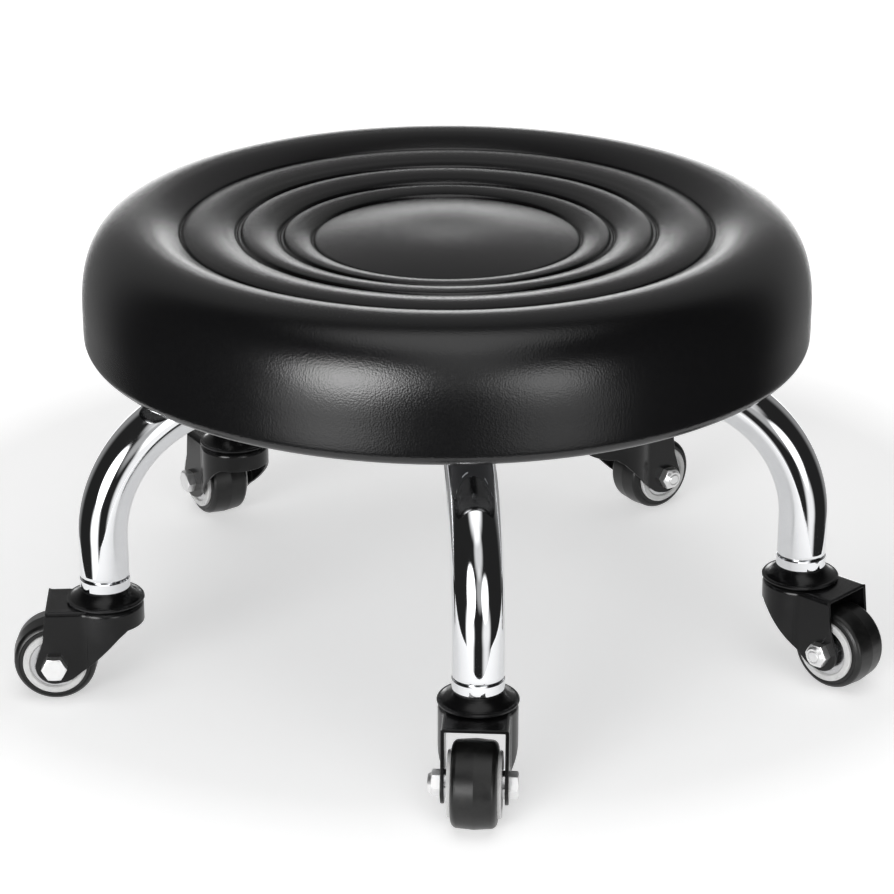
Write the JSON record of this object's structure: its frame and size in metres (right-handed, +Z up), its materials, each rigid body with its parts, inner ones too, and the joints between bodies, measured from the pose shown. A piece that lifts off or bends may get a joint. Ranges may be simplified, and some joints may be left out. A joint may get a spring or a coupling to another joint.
{
  "type": "pedicure stool",
  "caption": "Low round rolling stool: thick quilted leather-look seat that swivels on a chromed tube frame with bent legs, each on a swivel castor.",
  "frame": {"origin": "on the floor, under the middle of the seat, on the seat's swivel axis", "axes": "+Z up; -Y is the stool's front, where one leg points forward and 4.5 degrees towards +X; the other legs follow every 72 degrees"},
  "size_m": [0.3924, 0.3804, 0.207],
  "materials": {
    "black_leather": "satin",
    "foam": "matte",
    "plywood": "matte",
    "dust_cloth": "matte",
    "chrome_tube": "polished",
    "zinc_steel": "satin",
    "bolt_steel": "gloss",
    "bearing_steel": "gloss",
    "black_steel": "satin",
    "black_tyre": "satin",
    "white_nylon": "satin"
  },
  "bodies": {
    "base": {"hub": "chrome_tube", "lower_swivel_plate": "zinc_steel", "swivel_balls": "bearing_steel", "swivel_pivot": "zinc_steel", "leg_inserts": "chrome_tube", "castor_stems": "zinc_steel", "race_balls": "bearing_steel", "leg_1": "chrome_tube", "leg_2": "chrome_tube", "leg_3": "chrome_tube", "leg_4": "chrome_tube", "leg_5": "chrome_tube", "stem_cap_1": "black_steel", "stem_cap_2": "black_steel", "stem_cap_3": "black_steel", "stem_cap_4": "black_steel", "stem_cap_5": "black_steel"},
    "seat": {"seat_cover": "black_leather", "seat_foam": "foam", "seat_board": "plywood", "dust_cover": "dust_cloth", "cover_staples": "zinc_steel", "upper_swivel_plate": "zinc_steel", "seat_bolts": "zinc_steel", "tee_nuts": "zinc_steel"},
    "castor_1": {"fork_1": "black_steel", "axle_bolt_1": "bolt_steel", "axle_nut_1": "bolt_steel", "axle_spacers_1": "bearing_steel"},
    "wheel_1": {"tyre_1": "black_tyre", "wheel_core_1": "white_nylon", "bearings_1": "bearing_steel"},
    "castor_2": {"fork_2": "black_steel", "axle_bolt_2": "bolt_steel", "axle_nut_2": "bolt_steel", "axle_spacers_2": "bearing_steel"},
    "wheel_2": {"tyre_2": "black_tyre", "wheel_core_2": "white_nylon", "bearings_2": "bearing_steel"},
    "castor_3": {"fork_3": "black_steel", "axle_bolt_3": "bolt_steel", "axle_nut_3": "bolt_steel", "axle_spacers_3": "bearing_steel"},
    "wheel_3": {"tyre_3": "black_tyre", "wheel_core_3": "white_nylon", "bearings_3": "bearing_steel"},
    "castor_4": {"fork_4": "black_steel", "axle_bolt_4": "bolt_steel", "axle_nut_4": "bolt_steel", "axle_spacers_4": "bearing_steel"},
    "wheel_4": {"tyre_4": "black_tyre", "wheel_core_4": "white_nylon", "bearings_4": "bearing_steel"},
    "castor_5": {"fork_5": "black_steel", "axle_bolt_5": "bolt_steel", "axle_nut_5": "bolt_steel", "axle_spacers_5": "bearing_steel"},
    "wheel_5": {"tyre_5": "black_tyre", "wheel_core_5": "white_nylon", "bearings_5": "bearing_steel"}
  },
  "joints": [
    {"name": "seat_swivel", "type": "hinge", "parent": "base", "child": "seat", "pos_m": [0, 0, 0.1505], "axis": [0, 0, 1], "continuous": true},
    {"name": "castor_swivel_1", "type": "hinge", "parent": "base", "child": "castor_1", "pos_m": [0.013, -0.16519, 0.045], "axis": [0, 0, 1], "continuous": true},
    {"name": "castor_swivel_2", "type": "hinge", "parent": "base", "child": "castor_2", "pos_m": [0.16112, -0.03868, 0.045], "axis": [0, 0, 1], "continuous": true},
    {"name": "castor_swivel_3", "type": "hinge", "parent": "base", "child": "castor_3", "pos_m": [0.08658, 0.14128, 0.045], "axis": [0, 0, 1], "continuous": true},
    {"name": "castor_swivel_4", "type": "hinge", "parent": "base", "child": "castor_4", "pos_m": [-0.10761, 0.126, 0.045], "axis": [0, 0, 1], "continuous": true},
    {"name": "castor_swivel_5", "type": "hinge", "parent": "base", "child": "castor_5", "pos_m": [-0.15309, -0.06341, 0.045], "axis": [0, 0, 1], "continuous": true},
    {"name": "wheel_spin_1", "type": "hinge", "parent": "castor_1", "child": "wheel_1", "pos_m": [0.01158, -0.18845, 0.019], "axis": [0.9981, -0.061, 0], "continuous": true},
    {"name": "wheel_spin_2", "type": "hinge", "parent": "castor_2", "child": "wheel_2", "pos_m": [0.17816, -0.05457, 0.019], "axis": [0.682, 0.7314, 0], "continuous": true},
    {"name": "wheel_spin_3", "type": "hinge", "parent": "castor_3", "child": "wheel_3", "pos_m": [0.10519, 0.1553, 0.019], "axis": [-0.6018, 0.7986, 0], "continuous": true},
    {"name": "wheel_spin_4", "type": "hinge", "parent": "castor_4", "child": "wheel_4", "pos_m": [-0.11926, 0.14618, 0.019], "axis": [-0.866, -0.5, 0], "continuous": true},
    {"name": "wheel_spin_5", "type": "hinge", "parent": "castor_5", "child": "wheel_5", "pos_m": [-0.17635, -0.06463, 0.019], "axis": [0.0523, -0.9986, 0], "continuous": true}
  ]
}
